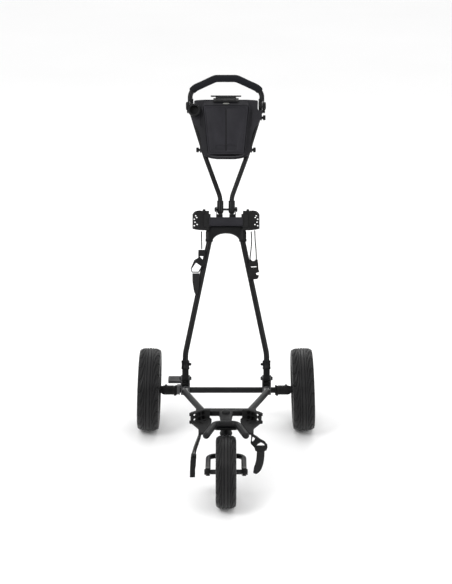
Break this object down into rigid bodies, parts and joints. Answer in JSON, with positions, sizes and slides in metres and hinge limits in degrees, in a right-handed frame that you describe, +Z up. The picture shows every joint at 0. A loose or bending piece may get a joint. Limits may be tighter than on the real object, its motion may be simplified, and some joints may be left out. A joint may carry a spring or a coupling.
{
  "type": "golf push cart",
  "caption": "Three-wheel folding golf push cart: tube frame, cambered rear wheels, swivelling front wheel, bag cradles with straps, console with lid and a padded bow handle.",
  "frame": {"origin": "middle of the bounding box on the floor the wheels stand on", "axes": "+Z up, the front wheel points to -Y, the push handle is over +Y, +X is the cart's right as seen from the front"},
  "size_m": [0.599, 1.1101, 1.1283],
  "materials": {
    "tube": "satin",
    "bracket": "satin",
    "ear": "satin",
    "steel": "satin",
    "plastic": "matte",
    "console": "satin",
    "wing": "matte",
    "foam": "matte",
    "tyre": "matte",
    "pedal": "matte",
    "badge": "satin",
    "webbing": "matte",
    "cord": "matte"
  },
  "bodies": {
    "base": {"axle_bar": "tube", "hinge_bracket_left": "ear", "hinge_bracket_right": "ear", "pivot_bolt_left": "steel", "pivot_bolt_right": "steel", "lower_tube_left": "tube", "lower_tube_right": "tube", "hub_sleeve_left": "plastic", "hub_sleeve_right": "plastic", "brake_mount": "bracket", "lower_crossbar": "bracket", "head_tube": "bracket", "bag_base_fork": "tube", "lower_wing_left": "wing", "lower_wing_right": "wing", "lower_webbing_left": "webbing", "lower_buckle_left": "plastic", "lower_slide_right": "plastic", "lower_webbing_right": "webbing"},
    "mast": {"mast_knuckle_left": "bracket", "mast_knuckle_right": "bracket", "mast_tube_left": "tube", "mast_tube_right": "tube", "arch_bracket": "plastic", "upper_crossbar": "plastic", "cross_bolt": "steel", "upper_wing_left": "wing", "upper_wing_right": "wing", "upper_cord_left": "cord", "upper_cord_right": "cord", "upper_buckle_left": "plastic", "upper_webbing_left": "webbing", "upper_hook_right": "plastic"},
    "handle": {"handle_tube_left": "tube", "handle_tube_right": "tube", "console_tray": "console", "badge": "badge", "clip_mount": "plastic", "umbrella_holder": "plastic"},
    "grip": {"handle_loop": "tube", "foam_grip": "foam"},
    "lid": {"console_lid": "console"},
    "clip": {"scorecard_clip": "plastic"},
    "knob_lower_left": {"clamp_knob_lower_left": "plastic"},
    "knob_lower_right": {"clamp_knob_lower_right": "plastic"},
    "knob_upper_right": {"clamp_knob_upper_right": "plastic"},
    "fork": {"fork_stem": "bracket", "fork_yoke": "tube", "front_axle": "steel"},
    "front_wheel": {"front_wheel_tyre": "tyre", "front_wheel_rim": "plastic"},
    "rear_wheel_left": {"rear_wheel_left_tyre": "tyre", "rear_wheel_left_rim": "plastic"},
    "rear_wheel_right": {"rear_wheel_right_tyre": "tyre", "rear_wheel_right_rim": "plastic"},
    "brake": {"brake_arm": "bracket", "brake_pedal": "pedal"},
    "button_left": {"release_button_left": "pedal"},
    "button_right": {"release_button_right": "pedal"}
  },
  "joints": [
    {"name": "mast_fold", "type": "hinge", "parent": "base", "child": "mast", "pos_m": [0, 0.126, 0.18], "axis": [1, 0, 0], "range_deg": [0, 90]},
    {"name": "handle_fold", "type": "hinge", "parent": "mast", "child": "handle", "pos_m": [0, 0.35929, 0.704], "axis": [-1, 0, 0], "range_deg": [0, 150]},
    {"name": "handle_tilt", "type": "hinge", "parent": "handle", "child": "grip", "pos_m": [0, 0.50397, 1.029], "axis": [-1, 0, 0], "range_deg": [0, 60]},
    {"name": "lid_open", "type": "hinge", "parent": "handle", "child": "lid", "pos_m": [0, 0.4606, 1.03754], "axis": [-1, 0, 0], "range_deg": [0, 110]},
    {"name": "clip_open", "type": "hinge", "parent": "handle", "child": "clip", "pos_m": [0, 0.50408, 1.05923], "axis": [-1, 0, 0], "range_deg": [0, 35], "stiffness_Nm_per_rad": 0.05, "springref_deg": -17.19},
    {"name": "knob_turn_lower_left", "type": "hinge", "parent": "handle", "child": "knob_lower_left", "pos_m": [-0.0895, 0.44288, 0.89054], "axis": [-1, 0, 0], "continuous": true},
    {"name": "knob_turn_lower_right", "type": "hinge", "parent": "handle", "child": "knob_lower_right", "pos_m": [0.0895, 0.44288, 0.89054], "axis": [1, 0, 0], "continuous": true},
    {"name": "knob_turn_upper_right", "type": "hinge", "parent": "handle", "child": "knob_upper_right", "pos_m": [0.1231, 0.48803, 0.99195], "axis": [1, 0, 0], "continuous": true},
    {"name": "fork_swivel", "type": "hinge", "parent": "base", "child": "fork", "pos_m": [0, -0.314, 0], "axis": [0, 0, 1], "continuous": true, "deforming": ["lower_webbing_left", "lower_buckle_left", "lower_slide_right", "lower_webbing_right"]},
    {"name": "front_wheel_spin", "type": "hinge", "parent": "fork", "child": "front_wheel", "pos_m": [0, -0.443, 0.112], "axis": [1, 0, 0], "continuous": true},
    {"name": "rear_wheel_spin_left", "type": "hinge", "parent": "base", "child": "rear_wheel_left", "pos_m": [-0.259, 0.126, 0.13999], "axis": [-0.9994, 0, 0.0349], "continuous": true},
    {"name": "rear_wheel_spin_right", "type": "hinge", "parent": "base", "child": "rear_wheel_right", "pos_m": [0.259, 0.126, 0.13999], "axis": [0.9994, 0, 0.0349], "continuous": true},
    {"name": "brake_press", "type": "hinge", "parent": "base", "child": "brake", "pos_m": [-0.1528, 0.156, 0.137], "axis": [-1, 0, 0], "range_deg": [0, 15]},
    {"name": "button_press_left", "type": "slide", "parent": "base", "child": "button_left", "axis": [0, 0, -1], "range_m": [0, 0.003], "stiffness_N_per_m": 60, "springref_m": -0.003},
    {"name": "button_press_right", "type": "slide", "parent": "base", "child": "button_right", "axis": [0, 0, -1], "range_m": [0, 0.003], "stiffness_N_per_m": 60, "springref_m": -0.003}
  ]
}
